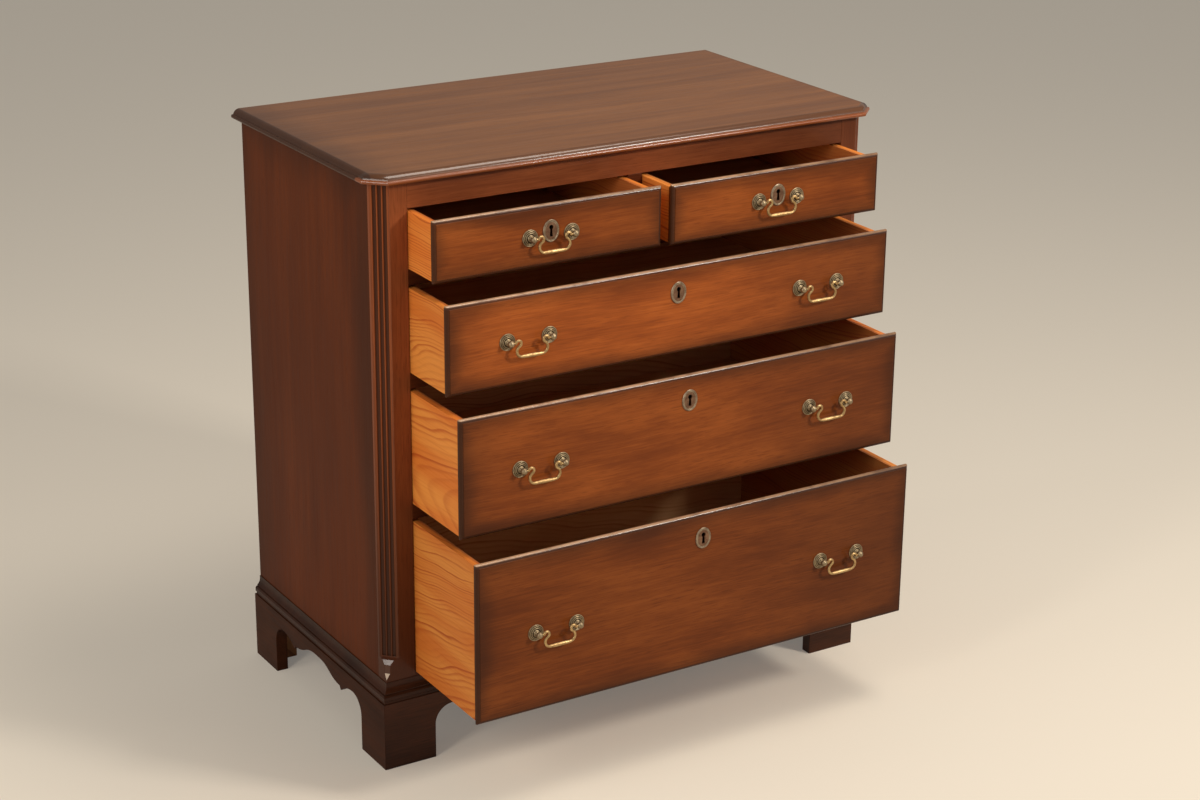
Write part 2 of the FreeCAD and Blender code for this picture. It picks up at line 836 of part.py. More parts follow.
def drawer_back(drawer):
    reach = drawer.inside + mm.dado_depth
    y = front_y - drawer.travel + drawer_rear - mm.back_drop
    low = drawer.floor + mm.drawer_bottom_lift + mm.drawer_bottom_thickness
    high = drawer.floor + drawer.side_top - mm.back_drop
    back = block((drawer.x - reach, drawer.x + reach), (y - mm.drawer_back_thickness, y), (low, high))
    node(f"{drawer.name}_back", back)


def drawer_bottom(drawer):
    """A thin board in the grooves of the sides, with a narrower tongue in the groove of the front."""
    reach = drawer.inside + mm.groove_depth
    tongue = core_depth - mm.groove_depth
    rear = drawer_rear - mm.back_drop
    plan = [
        (-drawer.inside, tongue),
        (drawer.inside, tongue),
        (drawer.inside, core_depth),
        (reach, core_depth),
        (reach, rear),
        (-reach, rear),
        (-reach, core_depth),
        (-drawer.inside, core_depth),
    ]
    board = prism("XY_Plane", plan, mm.drawer_bottom_thickness, mm.drawer_bottom_lift)
    node(f"{drawer.name}_bottom", drawer_at(drawer, board))


# Pulls and escutcheons


def pull_post():
    """A post on a square shank: rosette with rim and dome, neck, and a head bored for the bail's pin."""
    head = mm.post_head_length / 2
    band = mm.post_head_band / 2
    half = [
        (mm.rosette_radius, ZERO),
        (mm.rosette_radius, -mm.rosette_edge),
        (mm.rosette_dome_radius, -mm.rosette_edge),
        (mm.rosette_dome_top, -mm.rosette_dome_height),
        (mm.post_neck_radius, -mm.rosette_dome_height),
        (mm.post_neck_radius, head - mm.post_reach),
        (mm.post_head_radius, band - mm.post_reach),
        (mm.post_head_radius, -band - mm.post_reach),
        (mm.post_neck_radius, -head - mm.post_reach),
    ]
    width = mm.rosette_radius * 2 + mm.overrun
    lathe_work = turned("XY_Plane", half + mirrored(half), width, POST_SIDES, (0, 1, 0))
    shank = prism("XZ_Plane", square(ZERO, ZERO, mm.shank_half_width), mm.front_thickness, flip=True)
    bore_radius = (mm.pin_radius + mm.pin_clearance) / cosine(180 / WIRE_SIDES)
    depth = mm.pin_depth + mm.pin_hole_spare
    outline = regular(WIRE_SIDES, bore_radius, -mm.post_reach)
    bore = prism("YZ_Plane", outline, depth + mm.overrun, mm.post_head_radius - depth)
    return cut(join("MultiFuse", [lathe_work, shank]), [bore])


def pull_posts(drawer):
    """The posts of a drawer's pulls, each with a cap nut on its shank inside the front."""
    first_pull = list(drawer.pulls.values())[0]
    x = drawer.x + drawer.post_xs[0]
    y = front_y - drawer.travel - proud
    z = drawer.floor + drawer.pull_z
    nut = prism("XZ_Plane", regular(NUT_SIDES, mm.nut_radius), mm.nut_thickness, flip=True)
    parts = [place(pull_post(), x, y, z), place(nut, x, y + mm.front_thickness, z)]
    parts += [mirror(part, drawer.x + first_pull) for part in parts]
    if len(drawer.pulls) > 1:
        parts += [mirror(part, drawer.x) for part in parts]
    node(f"{drawer.name}_pull_posts", join("Compound", parts))


def bail():
    """A swan-neck bail: pins, humps that curl beside the posts, necks that swing out, and a swelled grip."""
    body = new_body()
    head_face = mm.pull_boring / 2 - mm.post_head_radius
    hump_x = head_face - mm.bail_gap - mm.bail_wire_radius - mm.bail_hump_radius
    hump_z = mm.bail_hump_rise - mm.bail_hump_radius
    bend = as_size(NECK_ANGLE)
    corner_z = mm.bail_corner_radius - mm.bail_drop
    curl = mm.bail_hump_radius + mm.bail_corner_radius
    straight = (hump_z - corner_z - curl * sine(bend)) / cosine(bend)
    grip = hump_x - curl * cosine(bend) + straight * sine(bend)
    half = [(ZERO, -mm.bail_drop)]
    half += stepped(grip, corner_z, mm.bail_corner_radius, as_size(-90), bend, CORNER_STEPS)
    half += stepped(hump_x, hump_z, mm.bail_hump_radius, bend + 180, as_size(PIN_ANGLE), HUMP_STEPS)
    spine = sketch_on(body, "XZ_Plane", ZERO)
    draw(spine, half, closed=False)
    section = sketch_on(body, "YZ_Plane", ZERO)
    draw(section, regular(WIRE_SIDES, mm.bail_wire_radius, y=-mm.bail_drop))
    wire = body.newObject("PartDesign::AdditivePipe", "Wire")
    wire.Profile = section
    wire.Spine = spine
    wire.Transition = "Right corner"
    pin_length = mm.bail_wire_radius + mm.bail_gap + mm.pin_depth
    pad(body, "YZ_Plane", [regular(WIRE_SIDES, mm.pin_radius)], pin_length, hump_x + mm.bail_hump_radius)
    half_side = 180 / WIRE_SIDES
    thin = mm.bail_wire_radius * cosine(half_side)
    thick = mm.bail_grip_radius * cosine(half_side)
    flat = mm.bail_grip_flat / 2
    swell = [(-grip, -thin), (-flat, -thick), (flat, -thick), (grip, -thin)]
    swell += [(along, -out) for along, out in reversed(swell)]
    handle = turned("XY_Plane", swell, mm.bail_grip_radius * 3, WIRE_SIDES, (1, 0, 0), half_side)
    return join("MultiFuse", [body, mirror(body), place(handle, ZERO, ZERO, -mm.bail_drop)])


def bails(drawer):
    """The bails hang from the posts; the second pull of a long drawer mirrors the first."""
    names = [f"{drawer.name}_{name}" for name in drawer.pulls]
    x = drawer.x + list(drawer.pulls.values())[0]
    y = front_y - drawer.travel - proud - mm.post_reach
    first = node(names[0], place(bail(), x, y, drawer.floor + drawer.pull_z))
    for name in names[1:]:
        node(name, mirror(first, drawer.x))


def oval(z):
    """An upright oval in short straight steps."""
    turns = [as_size(360) * step / OVAL_SIDES for step in range(OVAL_SIDES)]
    half_width, half_height = mm.escutcheon_half_width, mm.escutcheon_half_height
    return [(half_width * cosine(degrees), z + half_height * sine(degrees)) for degrees in turns]


def escutcheon(drawer):
    body = new_body()
    pad(body, "XZ_Plane", [oval(drawer.plate_z), keyhole(drawer)], mm.escutcheon_thickness, proud)
    node(f"{drawer.name}_escutcheon", drawer_at(drawer, body))


def drawer_sizes(name, x, floor, width, opening, travel, pulls):
    front_top = opening + mm.top_lip
    plate_z = front_top - mm.escutcheon_drop
    half_width = width / 2
    outside = half_width - mm.side_clearance
    half_boring = mm.pull_boring / 2
    return SimpleNamespace(
        name=name,
        x=x,
        floor=floor,
        travel=travel,
        half_width=half_width,
        outside=outside,
        inside=outside - mm.drawer_side_thickness,
        side_top=opening - mm.top_clearance,
        front_top=front_top,
        pulls=pulls,
        pull_z=(front_top + mm.front_lift) / 2,
        plate_z=plate_z,
        keyhole_z=plate_z + mm.keyhole_rise,
        post_xs=[x for pull in pulls.values() for x in (pull - half_boring, pull + half_boring)],
    )


def all_drawers():
    short = (opening_width - mm.divider_width) / 2
    short_x = (mm.divider_width + short) / 2
    one = {"bail": ZERO}
    pull_x = half_opening - mm.pull_inset
    two = {"bail_left": -pull_x, "bail_right": pull_x}
    return [
        drawer_sizes("top_left", -short_x, top_floor, short, mm.top_opening, mm.top_left_travel, one),
        drawer_sizes("top_right", short_x, top_floor, short, mm.top_opening, mm.top_right_travel, one),
        drawer_sizes("upper", ZERO, upper_floor, opening_width, mm.upper_opening, mm.upper_travel, two),
        drawer_sizes("middle", ZERO, middle_floor, opening_width, mm.middle_opening, mm.middle_travel, two),
        drawer_sizes("lower", ZERO, lower_floor, opening_width, mm.lower_opening, mm.lower_travel, two),
    ]


# Build everything

top_board()
side_panels()
corner_posts()
rails()
centre_divider()
runners_and_guides()
top_cleats()
back_panel()
bottom_board()
base_boards()
base_moulding()
foot_blocks()
rear_foot_braces()
for drawer in all_drawers():
    drawer_front(drawer)
    drawer_sides(drawer)
    drawer_back(drawer)
    drawer_bottom(drawer)
    pull_posts(drawer)
    escutcheon(drawer)
    bails(drawer)
doc.recompute()

for thing in doc.Objects:
    if "Invalid" in thing.State or "Error" in thing.State:
        raise RuntimeError(f"{thing.Name} ({thing.Label}) failed: {thing.State}")
for thing in nodes:
    if thing.Shape.isNull() or not thing.Shape.isValid() or not thing.Shape.Solids:
        raise RuntimeError(f"{thing.Label} has no sound shape")

os.makedirs("parts", exist_ok=True)
for thing in nodes:
    thing.Shape.exportStep(f"parts/{thing.Label}.step")
print(len(nodes), "sub-parts written")
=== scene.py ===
import json
import math

import bmesh
import bpy
from mathutils import Matrix, Vector

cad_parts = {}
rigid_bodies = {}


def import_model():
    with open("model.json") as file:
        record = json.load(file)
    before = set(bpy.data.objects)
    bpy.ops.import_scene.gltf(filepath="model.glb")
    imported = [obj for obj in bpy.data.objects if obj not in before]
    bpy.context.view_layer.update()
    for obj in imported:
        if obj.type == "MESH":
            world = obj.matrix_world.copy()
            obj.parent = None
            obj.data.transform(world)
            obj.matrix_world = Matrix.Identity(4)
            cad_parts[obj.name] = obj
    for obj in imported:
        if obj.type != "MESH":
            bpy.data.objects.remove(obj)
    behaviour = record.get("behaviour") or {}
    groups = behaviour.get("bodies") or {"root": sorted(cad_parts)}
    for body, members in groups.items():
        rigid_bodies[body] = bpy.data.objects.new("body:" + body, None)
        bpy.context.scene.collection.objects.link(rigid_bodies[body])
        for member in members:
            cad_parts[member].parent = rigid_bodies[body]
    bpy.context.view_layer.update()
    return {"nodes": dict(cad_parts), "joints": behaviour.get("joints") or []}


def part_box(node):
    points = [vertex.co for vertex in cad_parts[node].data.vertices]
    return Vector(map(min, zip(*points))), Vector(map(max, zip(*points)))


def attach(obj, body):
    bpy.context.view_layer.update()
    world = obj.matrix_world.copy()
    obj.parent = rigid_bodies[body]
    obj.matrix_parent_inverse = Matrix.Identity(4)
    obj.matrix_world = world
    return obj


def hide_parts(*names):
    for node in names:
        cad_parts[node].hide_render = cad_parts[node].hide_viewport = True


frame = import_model()
scene = bpy.context.scene
nodes = frame["nodes"]

MM = 0.001
DIAGONAL = math.sqrt(0.5)


# Shader helpers


def add(tree, kind, inputs=None, **settings):
    """A node with its settings and inputs; an input that is a socket gets a link."""
    made = tree.nodes.new(kind)
    for name, value in settings.items():
        setattr(made, name, value)
    for name, value in (inputs or {}).items():
        if isinstance(value, bpy.types.NodeSocket):
            tree.links.new(value, made.inputs[name])
        else:
            made.inputs[name].default_value = value
    return made


def calc(tree, operation, *values):
    return add(tree, "ShaderNodeMath", dict(enumerate(values)), operation=operation).outputs[0]


def blend(tree, share, first, second):
    return add(tree, "ShaderNodeMix", {0: share, 6: first, 7: second}, data_type="RGBA").outputs[2]


def between(tree, value, low, high, to_low=0.0, to_high=1.0):
    """The value's smooth step from low to high."""
    inputs = {"Value": value, "From Min": low, "From Max": high, "To Min": to_low, "To Max": to_high}
    return add(tree, "ShaderNodeMapRange", inputs, interpolation_type="SMOOTHSTEP").outputs[0]


def noise(tree, vector, along, across, detail=3.0, roughness=0.5):
    """Noise that changes so many times per metre along the grain and across it."""
    stretch = {0: vector, 1: (along, across, across)}
    scaled = add(tree, "ShaderNodeVectorMath", stretch, operation="MULTIPLY").outputs[0]
    inputs = {"Vector": scaled, "Scale": 1.0, "Detail": detail, "Roughness": roughness}
    return add(tree, "ShaderNodeTexNoise", inputs).outputs[0]


def ramp(tree, value, stops):
    made = add(tree, "ShaderNodeValToRGB", {"Fac": value})
    made.color_ramp.interpolation = "B_SPLINE"
    while len(made.color_ramp.elements) < len(stops):
        made.color_ramp.elements.new(0.5)
    for element, (place, colour) in zip(made.color_ramp.elements, stops):
        element.position = place
        element.color = colour
    return made.outputs[0]


RELIEF = 0.3 * MM


def bumped(tree, shader, height, strength):
    """Fine relief of the grain or of pits."""
    bump = add(tree, "ShaderNodeBump", {"Strength": strength, "Distance": RELIEF, "Height": height})
    tree.links.new(bump.outputs[0], shader.inputs["Normal"])


def srgb(red, green, blue):
    """A colour given as it looks on screen, from 0 to 255, in the renderer's linear values."""
    linear = []
    for channel in (red, green, blue):
        share = channel / 255
        linear.append(share / 12.92 if share <= 0.04045 else ((share + 0.055) / 1.055) ** 2.4)
    return (*linear, 1.0)


def new_material(name):
    material = bpy.data.materials.new(name)
    material.use_nodes = True
    return material, material.node_tree, material.node_tree.nodes["Principled BSDF"]


def object_point(tree):
    """A piece's point in the shared frame, as the piece stands at rest."""
    return add(tree, "ShaderNodeTexCoord").outputs["Object"]


def coordinates(tree):
    """The x, y and z of that point."""
    return add(tree, "ShaderNodeSeparateXYZ", {0: object_point(tree)}).outputs


def along_grain(tree, grain, shift):
    """The point's coordinates with the grain's direction first, moved so that boards differ."""
    parts = coordinates(tree)
    order = {"x": (0, 1, 2), "y": (1, 0, 2), "z": (2, 0, 1)}[grain]
    turned = dict(enumerate(parts[axis] for axis in order))
    joined = add(tree, "ShaderNodeCombineXYZ", turned).outputs[0]
    return add(tree, "ShaderNodeVectorMath", {0: joined, 1: shift}, operation="ADD").outputs[0]


def distance_from(tree, value, middle):
    return calc(tree, "ABSOLUTE", calc(tree, "SUBTRACT", value, middle))


def from_middle(tree, low, high, axis):
    return distance_from(tree, coordinates(tree)[axis], (low[axis] + high[axis]) / 2)


def edge_distance(tree, low, high, axes):
    """How far a point of a board lies inside its edges, in metres."""
    insides = []
    for axis in axes:
        half = (high[axis] - low[axis]) / 2
        insides.append(calc(tree, "SUBTRACT", half, from_middle(tree, low, high, axis)))
    return calc(tree, "MINIMUM", *insides)


def seen_as(tree, lighting, showing):
    """One strength for the light that falls on things, another for what camera and reflections show."""
    ray = add(tree, "ShaderNodeLightPath").outputs
    seen = calc(tree, "MAXIMUM", ray["Is Glossy Ray"], ray["Is Transmission Ray"])
    seen = calc(tree, "MAXIMUM", ray["Is Camera Ray"], seen)
    return between(tree, seen, 0.0, 1.0, lighting, showing)


# Mahogany

# SHADE: a dark brown for the toned finish and the specks, and for painted shade
SHADE = srgb(50, 25, 13)
LIP = srgb(52, 33, 23)
# A pale tone painted along the upper lip of each drawer front: a painted highlight, partly edge wear
LIP_WEAR_AND_HIGHLIGHT = srgb(182, 142, 108)
# A painted highlight for the tip of each post's tongue
TIP_HIGHLIGHT = srgb(228, 210, 192)
# A russet tone for the lower front of the top's moulding: partly the wood's warmer colour, partly a
# painted highlight
RUSSET_AND_HIGHLIGHT = srgb(136, 70, 30)
# A painted highlight for the ridges between a post's flutes
RIDGE_HIGHLIGHT = srgb(158, 82, 40)
# Painted shade inside the keyholes
KEYHOLE_SHADE = srgb(14, 10, 8)


def with_light(tones, share):
    """The same tones with a share of their light."""
    return [(*(channel * share for channel in tone[:3]), 1.0) for tone in tones]


def mahogany(name, grain, shift, tones, figure, gloss, coat, layers=(), polish=None):
    """Lacquered mahogany: figure, ribbon stripes, fibres and short dark pores, under layers of finish and
    of painted light and shade.
    """
    material, tree, shader = new_material(name)
    straight = along_grain(tree, grain, shift)
    sway = noise(tree, straight, 1.2, 2.0, 1.0)
    swayed = {0: sway, 1: (0.0, 0.05, 0.05), 2: straight}
    place = add(tree, "ShaderNodeVectorMath", swayed, operation="MULTIPLY_ADD").outputs[0]
    broad = noise(tree, place, *figure[0])
    ribbon = noise(tree, place, *figure[1], 3.0, 0.6)
    mottle = noise(tree, place, *figure[2], 2.0)
    fibre = noise(tree, place, 10.0, 520.0, 3.0, 0.65)
    pores = between(tree, noise(tree, place, 36.0, 760.0, 1.0), 0.56, 0.68)
    tone = calc(tree, "MULTIPLY", broad, 0.42)
    for part, weight in ((fibre, 0.24), (ribbon, 0.2), (mottle, 0.14)):
        tone = calc(tree, "MULTIPLY_ADD", part, weight, tone)
    dark, mid, light = tones
    colour = ramp(tree, tone, [(0.38, dark), (0.5, mid), (0.62, light)])
    colour = blend(tree, calc(tree, "MULTIPLY", pores, 0.5), colour, dark)
    for layer in layers:
        colour = layer(tree, colour, broad)
    tree.links.new(colour, shader.inputs["Base Color"])
    tree.links.new(between(tree, fibre, 0.3, 0.75, 0.34, 0.46), shader.inputs["Roughness"])
    shader.inputs["Specular IOR Level"].default_value = gloss
    shader.inputs["Coat Weight"].default_value = coat
    if polish:
        zone, polished = polish
        varied = between(tree, zone(tree), 0.0, 1.0, coat, polished)
        tree.links.new(varied, shader.inputs["Coat Weight"])
    shader.inputs["Coat Roughness"].default_value = 0.16
    height = calc(tree, "MULTIPLY_ADD", fibre, 0.5, calc(tree, "MULTIPLY", pores, -1.0))
    bumped(tree, shader, height, 0.12)
    return material


def shaded_edges(low, high, axes, reach, depth):
    """A finish shaded darker towards a board's edges."""

    def layer(tree, colour, broad):
        uneven = calc(tree, "SUBTRACT", broad, 0.5)
        uneven = calc(tree, "MULTIPLY_ADD", uneven, reach, edge_distance(tree, low, high, axes))
        return blend(tree, between(tree, uneven, 0.0, reach, depth, 0.0), colour, SHADE)

    return layer


LEFT_SHADE_REACH = 90.0
RIGHT_SHADE_START = 0.45


def painted_shade_at_ends(low, high, left, right):
    """Painted shade: colour darkened at a board's left end, and along half of its length to its right
    end.
    """

    def layer(tree, colour, broad):
        x = coordinates(tree)[0]
        at_left = between(tree, x, low.x, low.x + LEFT_SHADE_REACH * MM, left, 0.0)
        start = low.x + RIGHT_SHADE_START * (high.x - low.x)
        at_right = between(tree, x, start, high.x, 0.0, right)
        return blend(tree, calc(tree, "ADD", at_left, at_right), colour, SHADE)

    return layer


LIP_WIDTH = 6.0
LIP_FADE = 1.5


def on_upper_lip(high):
    """The lip along the upper edge of a drawer front, where hands rub it bright."""

    def zone(tree):
        inner = high.z - LIP_WIDTH * MM
        return between(tree, coordinates(tree)[2], inner, inner + LIP_FADE * MM)

    return zone


def dark_lip_and_painted_highlight(low, high):
    """A darker colour on the rounded lip of a drawer front, and a pale painted highlight along its upper
    edge, partly edge wear, stronger to the left.
    """

    def layer(tree, colour, broad):
        inside = edge_distance(tree, low, high, (0, 2))
        lip = between(tree, inside, (LIP_WIDTH - LIP_FADE) * MM, LIP_WIDTH * MM, 0.65, 0.0)
        colour = blend(tree, lip, colour, LIP)
        x, _, z = coordinates(tree)
        # A painted highlight along the upper edge, partly edge wear, stronger to the left
        lip_wear_and_highlight = between(tree, z, high.z - 2.6 * MM, high.z - 1.2 * MM)
        lip_wear_and_highlight = calc(tree, "MULTIPLY", lip_wear_and_highlight, between(tree, x, low.x, high.x, 0.85, 0.5))
        patchy = between(tree, noise(tree, object_point(tree), 30.0, 30.0), 0.3, 0.55, 0.45, 1.0)
        lip_wear_and_highlight = calc(tree, "MULTIPLY", lip_wear_and_highlight, patchy)
        return blend(tree, lip_wear_and_highlight, colour, LIP_WEAR_AND_HIGHLIGHT)

    return layer


CANT_LEG = 30.0
EDGE_INSET = 13.5


def moulding_places(tree, low, high):
    """How far a point of the top lies inside its ends, and inside its front and canted corners."""
    x, y, _ = coordinates(tree)
    across = calc(tree, "SUBTRACT", high.x, calc(tree, "ABSOLUTE", x))
    behind = calc(tree, "SUBTRACT", y, low.y)
    canted = calc(tree, "SUBTRACT", calc(tree, "ADD", across, behind), CANT_LEG * MM)
    return across, calc(tree, "MINIMUM", behind, calc(tree, "MULTIPLY", canted, DIAGONAL))


def in_moulding(tree, inside):
    return between(tree, inside, (EDGE_INSET - 1) * MM, (EDGE_INSET + 1) * MM, 1.0, 0.0)


def on_front_moulding(low, high):
    """The moulded edge of the top along its front and its canted corners, where hands rub it bright."""

    def zone(tree):
        return in_moulding(tree, moulding_places(tree, low, high)[1])

    return zone


def moulding_shade_and_highlight(low, high):
    """The top's moulded edge darkened as painted shade, most at its ends, and a russet tone along its
    lower front, partly the wood's warmer colour, partly a painted highlight.
    """

    def layer(tree, colour, broad):
        ends, front = (in_moulding(tree, inside) for inside in moulding_places(tree, low, high))
        # Painted shade on the moulded edge, most at its ends
        colour = blend(tree, calc(tree, "MULTIPLY", ends, 0.75), colour, SHADE)
        colour = blend(tree, calc(tree, "MULTIPLY", front, 0.5), colour, SHADE)
        # Along the lower front: a russet painted highlight, partly the wood's warmer colour
        thickness = high.z - low.z
        upper, lower = low.z + 0.55 * thickness, low.z + 0.35 * thickness
        rubbed_and_highlit = between(tree, coordinates(tree)[2], lower, upper, 0.9, 0.0)
        return blend(tree, calc(tree, "MULTIPLY", front, rubbed_and_highlit), colour, RUSSET_AND_HIGHLIGHT)

    return layer


FOOT_SHADE_HEIGHT = 650.0


def painted_shade_at_foot(foot, depth):
    """Painted shade: a post's colour darkened towards its foot, where the drawers shade it."""

    def layer(tree, colour, broad):
        foot_shade = between(tree, coordinates(tree)[2], foot, foot + FOOT_SHADE_HEIGHT * MM, depth, 0.0)
        return blend(tree, foot_shade, colour, SHADE)

    return layer


KEYHOLE_DEPTH = 13.0
KEYHOLE_HALF_WIDTH = 5.0
KEYHOLE_HALF_HEIGHT = 11.0


def painted_keyhole_shade(plate_low, plate_high):
    """Painted shade: the inside of the keyhole behind a key plate is painted black."""

    def layer(tree, colour, broad):
        x, y, z = coordinates(tree)
        deep = calc(tree, "SUBTRACT", y, plate_high.y)
        hole = between(tree, deep, 0.3 * MM, 0.8 * MM)
        sideways = distance_from(tree, x, (plate_low.x + plate_high.x) / 2)
        upward = distance_from(tree, z, (plate_low.z + plate_high.z) / 2)
        for value, reach in (
            (deep, KEYHOLE_DEPTH),
            (sideways, KEYHOLE_HALF_WIDTH),
            (upward, KEYHOLE_HALF_HEIGHT),
        ):
            near = between(tree, value, reach * MM, (reach + 1) * MM, 1.0, 0.0)
            hole = calc(tree, "MULTIPLY", hole, near)
        return blend(tree, hole, colour, KEYHOLE_SHADE)

    return layer


CHAMFER_LEG = 22.0
FLUTE_DEPTH = 2.4
FLUTED_HALF_WIDTH = 12.5
TONGUE_TIP_HEIGHT = 36.5
TONGUE_TIP_RISE = 10.5
TONGUE_HEIGHT = 70.0


def chamfer_place(tree, post_low):
    """How far a point of a post lies behind its chamfer's face, and beside the chamfer's middle line."""
    x, y, _ = coordinates(tree)
    across = calc(tree, "SUBTRACT", -post_low.x, calc(tree, "ABSOLUTE", x))
    behind = calc(tree, "SUBTRACT", y, post_low.y)
    from_corner = calc(tree, "ADD", across, behind)
    sunk = calc(tree, "MULTIPLY_ADD", from_corner, DIAGONAL, -CHAMFER_LEG * DIAGONAL * MM)
    return sunk, calc(tree, "MULTIPLY", distance_from(tree, across, behind), DIAGONAL)


def on_chamfer(post_low):
    """The chamfer of a post and the tongue that ends it, polished brighter than the flat faces."""

    def zone(tree):
        sunk, beside = chamfer_place(tree, post_low)
        from_corner = calc(tree, "ADD", sunk, CHAMFER_LEG * DIAGONAL * MM)
        inside = calc(tree, "SUBTRACT", from_corner, beside)
        cut = between(tree, inside, 0.2 * MM, 0.8 * MM)
        cut = calc(tree, "MULTIPLY", cut, between(tree, sunk, 3.0 * MM, 4.0 * MM, 1.0, 0.0))
        flutes_foot = post_low.z + TONGUE_HEIGHT * MM
        below = between(tree, coordinates(tree)[2], flutes_foot, flutes_foot + MM, 1.0, 0.2)
        return calc(tree, "MULTIPLY", cut, below)

    return zone


def painted_tip_highlight(post_low):
    """A pale painted highlight on the lowest facet of a post's tongue."""

    def layer(tree, colour, broad):
        height = calc(tree, "SUBTRACT", coordinates(tree)[2], post_low.z + TONGUE_TIP_HEIGHT * MM)
        edges = (TONGUE_TIP_RISE - 0.5) * MM, (TONGUE_TIP_RISE + 0.5) * MM
        tip = between(tree, height, *edges, 0.7, 0.0)
        return blend(tree, calc(tree, "MULTIPLY", on_chamfer(post_low)(tree), tip), colour, TIP_HIGHLIGHT)

    return layer


def shaded_flutes_and_highlit_ridges(post_low):
    """Painted shade in a post's flutes, partly a darker glaze, and a painted highlight on the ridges
    between them.
    """

    def layer(tree, colour, broad):
        sunk, beside = chamfer_place(tree, post_low)
        fluted = between(tree, beside, FLUTED_HALF_WIDTH * MM, (FLUTED_HALF_WIDTH + 1) * MM, 1.0, 0.0)
        # Painted highlight on the ridges
        ridge = calc(tree, "MULTIPLY", fluted, between(tree, sunk, 0.1 * MM, 0.5 * MM, 0.55, 0.0))
        ridge = calc(tree, "MULTIPLY", ridge, between(tree, sunk, -2.0 * MM, -1.0 * MM))
        colour = blend(tree, ridge, colour, RIDGE_HIGHLIGHT)
        # Painted shade in the hollows, partly a darker glaze
        hollow = between(tree, sunk, 0.2 * FLUTE_DEPTH * MM, 0.8 * FLUTE_DEPTH * MM, 0.0, 0.8)
        return blend(tree, calc(tree, "MULTIPLY", hollow, fluted), colour, SHADE)

    return layer


def specks(tree, colour, broad):
    """Small dark specks in the finish of the top."""
    inputs = {"Vector": object_point(tree), "Scale": 11.0, "Randomness": 1.0}
    cells = add(tree, "ShaderNodeTexVoronoi", inputs)
    spot = between(tree, cells.outputs["Distance"], 0.016, 0.03, 0.7, 0.0)
    return blend(tree, spot, colour, SHADE)


# Pine

INSIDE_SHADE = srgb(124, 66, 46)


def pine(name, grain, shift, core, rings, tones, layers=()):
    """Flat-sawn pine: growth rings cut along their length, pale in spring, sharp and red in autumn."""
    material, tree, shader = new_material(name)
    place = along_grain(tree, grain, shift)
    along, beside, upward = add(tree, "ShaderNodeSeparateXYZ", {0: place}).outputs
    sway = calc(tree, "SUBTRACT", noise(tree, place, 3.0, 7.0, 2.0), 0.5)
    ripple = calc(tree, "SUBTRACT", noise(tree, place, 12.0, 45.0, 2.0), 0.5)
    rise = calc(tree, "MULTIPLY_ADD", sway, 0.09, calc(tree, "ADD", beside, upward))
    rise = calc(tree, "MULTIPLY_ADD", ripple, 0.006, rise)
    heart = calc(tree, "MULTIPLY_ADD", along, 0.12, core)
    squares = calc(tree, "MULTIPLY_ADD", heart, heart, calc(tree, "MULTIPLY", rise, rise))
    count = calc(tree, "MULTIPLY", calc(tree, "SQRT", squares), rings)
    year = calc(tree, "FRACT", count)
    whole = {"W": calc(tree, "FLOOR", count)}
    chance = add(tree, "ShaderNodeTexWhiteNoise", whole, noise_dimensions="1D").outputs["Value"]
    strength = between(tree, chance, 0.0, 1.0, 0.1, 0.85)
    patchy = between(tree, noise(tree, place, 5.0, 30.0, 2.0), 0.3, 0.55, 0.4, 1.0)
    late = between(tree, year, 0.35, 0.85)
    late = calc(tree, "MULTIPLY", late, between(tree, year, 0.85, 1.0, 1.0, 0.0))
    late = calc(tree, "MULTIPLY", late, calc(tree, "MULTIPLY", strength, patchy))
    fibre = noise(tree, place, 9.0, 560.0, 3.0, 0.6)
    pale, mid, streak = tones
    colour = blend(tree, between(tree, noise(tree, place, 3.0, 18.0, 2.0), 0.35, 0.65), pale, mid)
    colour = blend(tree, late, colour, streak)
    colour = blend(tree, between(tree, fibre, 0.5, 0.8, 0.0, 0.3), colour, streak)
    for layer in layers:
        colour = layer(tree, colour)
    tree.links.new(colour, shader.inputs["Base Color"])
    tree.links.new(between(tree, fibre, 0.3, 0.7, 0.45, 0.6), shader.inputs["Roughness"])
    shader.inputs["Specular IOR Level"].default_value = 0.2
    height = calc(tree, "MULTIPLY_ADD", late, 0.5, calc(tree, "MULTIPLY", fibre, 0.4))
    bumped(tree, shader, height, 0.15)
    return material


def painted_shade_inside(low, high):
    """Painted shade: drawer sides darkened to a red brown on the faces inside the drawer."""

    def layer(tree, colour):
        inward = between(tree, edge_distance(tree, low, high, (0,)), 7.0 * MM, 9.0 * MM, 0.0, 0.5)
        return blend(tree, inward, colour, INSIDE_SHADE)

    return layer


# Brass


def brass(name, bright, dull, dark, rough):
    """Cast brass: bright where hands rub and polish it, with brown oxide in patches and dirt in its pits.
    """
    material, tree, shader = new_material(name)
    place = object_point(tree)
    patches = noise(tree, place, 150.0, 150.0, 4.0, 0.6)
    pits = noise(tree, place, 900.0, 900.0, 3.0, 0.6)
    colour = blend(tree, between(tree, patches, 0.32, 0.68), bright, dull)
    colour = blend(tree, between(tree, pits, 0.5, 0.75, 0.0, 0.6), colour, dark)
    tree.links.new(colour, shader.inputs["Base Color"])
    shader.inputs["Metallic"].default_value = 1.0
    tree.links.new(between(tree, patches, 0.3, 0.7, rough, rough + 0.14), shader.inputs["Roughness"])
    bumped(tree, shader, pits, 0.1)
    return material


def dress(name, material):
    """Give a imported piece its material."""
    nodes[name].data.materials.clear()
    nodes[name].data.materials.append(material)


# Soft edges on the wooden pieces


